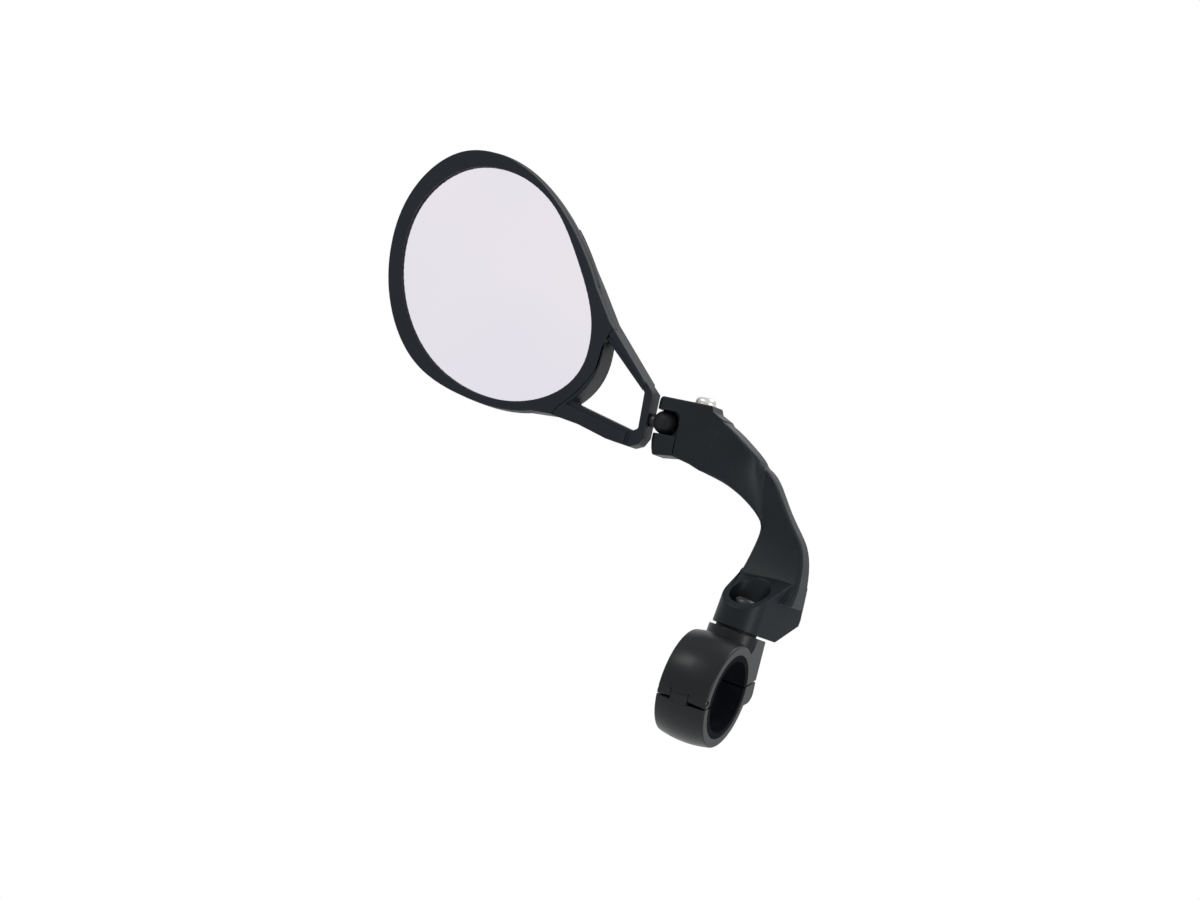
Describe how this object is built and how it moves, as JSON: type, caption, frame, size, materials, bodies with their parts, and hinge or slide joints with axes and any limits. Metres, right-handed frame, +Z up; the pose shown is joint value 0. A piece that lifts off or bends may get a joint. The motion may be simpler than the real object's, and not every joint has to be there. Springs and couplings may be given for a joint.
{
  "type": "bicycle handlebar mirror",
  "caption": "Convex teardrop mirror in a shell with a triangular yoke, on a ball joint, a curved swivelling arm and a hinged handlebar clamp.",
  "frame": {"origin": "centre of the handlebar clamp's bore, half way along the clamp", "axes": "+X along the handlebar away from the mirror, +Z up the arm's swivel axis, -Y the way the mirror faces"},
  "size_m": [0.2237, 0.0602, 0.2056],
  "materials": {
    "clamp_black": "satin",
    "arm_black": "satin",
    "case_black": "fine textured",
    "plate_black": "matte",
    "spacer_nylon": "matte",
    "shim_rubber": "matte",
    "foam_pad": "matte",
    "stainless": "turned",
    "black_steel": "blackened",
    "brass": "turned",
    "mirror": "polished"
  },
  "bodies": {
    "clamp": {"clamp_body": "clamp_black", "upper_shim": "shim_rubber", "hinge_pin": "stainless", "pivot_insert": "brass", "clamp_insert": "brass", "swivel_spacer": "spacer_nylon"},
    "cap": {"clamp_cap": "clamp_black", "lower_shim": "shim_rubber"},
    "clamp_washer": {"clamp_washer": "stainless"},
    "clamp_screw": {"clamp_screw": "stainless"},
    "pivot_washer": {"pivot_washer": "stainless"},
    "pivot_screw": {"pivot_screw": "stainless"},
    "arm": {"arm": "arm_black", "jaw_washer": "stainless"},
    "jaw": {"ball_jaw": "arm_black", "jaw_insert": "brass"},
    "jaw_screw": {"jaw_screw": "stainless"},
    "liner": {"ball_liner": "spacer_nylon"},
    "ball": {"pivot_ball": "spacer_nylon"},
    "head": {"ball_stud": "black_steel", "rear_case": "case_black", "bezel": "case_black", "mirror_glass": "mirror", "glass_pad": "foam_pad", "backing_plate": "plate_black"}
  },
  "joints": [
    {"name": "cap_hinge", "type": "hinge", "parent": "clamp", "child": "cap", "pos_m": [0, -0.02048, -0.00508], "axis": [-1, 0, 0], "range_deg": [0, 50]},
    {"name": "clamp_screw_rise", "type": "slide", "parent": "cap", "child": "clamp_washer", "axis": [0, 0.3584, -0.9336], "range_m": [0, 0.0049]},
    {"name": "clamp_screw_turn", "type": "hinge", "parent": "clamp_washer", "child": "clamp_screw", "pos_m": [0, 0.02185, 0.00839], "axis": [0, 0.3584, -0.9336], "range_deg": [0, 2522]},
    {"name": "arm_swivel", "type": "hinge", "parent": "clamp", "child": "arm", "pos_m": [0, 0.0135, 0.0279], "axis": [0, 0, 1], "continuous": true},
    {"name": "pivot_screw_rise", "type": "slide", "parent": "clamp", "child": "pivot_washer", "axis": [0, 0, 1], "range_m": [0, 0.0085]},
    {"name": "pivot_screw_turn", "type": "hinge", "parent": "pivot_washer", "child": "pivot_screw", "pos_m": [0, 0.0135, 0.038], "axis": [0, 0, 1], "range_deg": [0, 3062]},
    {"name": "jaw_screw_turn", "type": "hinge", "parent": "arm", "child": "jaw_screw", "pos_m": [-0.04795, 0.02, 0.1008], "axis": [-0.1392, 0, 0.9903], "range_deg": [0, 542]},
    {"name": "jaw_slide", "type": "slide", "parent": "arm", "child": "jaw", "axis": [0.1392, 0, -0.9903], "range_m": [0, 0.0012]},
    {"name": "head_pan", "type": "hinge", "parent": "arm", "child": "liner", "pos_m": [-0.0629, 0.02, 0.0987], "axis": [-0.1392, 0, 0.9903], "range_deg": [-30, 30]},
    {"name": "head_nod", "type": "hinge", "parent": "liner", "child": "ball", "pos_m": [-0.0629, 0.02, 0.0987], "axis": [0, 1, 0], "range_deg": [-10, 10]},
    {"name": "head_twist", "type": "hinge", "parent": "ball", "child": "head", "pos_m": [-0.0629, 0.02, 0.0987], "axis": [-0.9903, 0, -0.1392], "continuous": true}
  ],
  "couplings": [
    {"joint": "clamp_screw_turn", "follows": "clamp_screw_rise", "rad_per_m": 8976},
    {"joint": "pivot_screw_turn", "follows": "pivot_screw_rise", "rad_per_m": 6283.2},
    {"joint": "jaw_screw_turn", "follows": "jaw_slide", "rad_per_m": 7854}
  ]
}
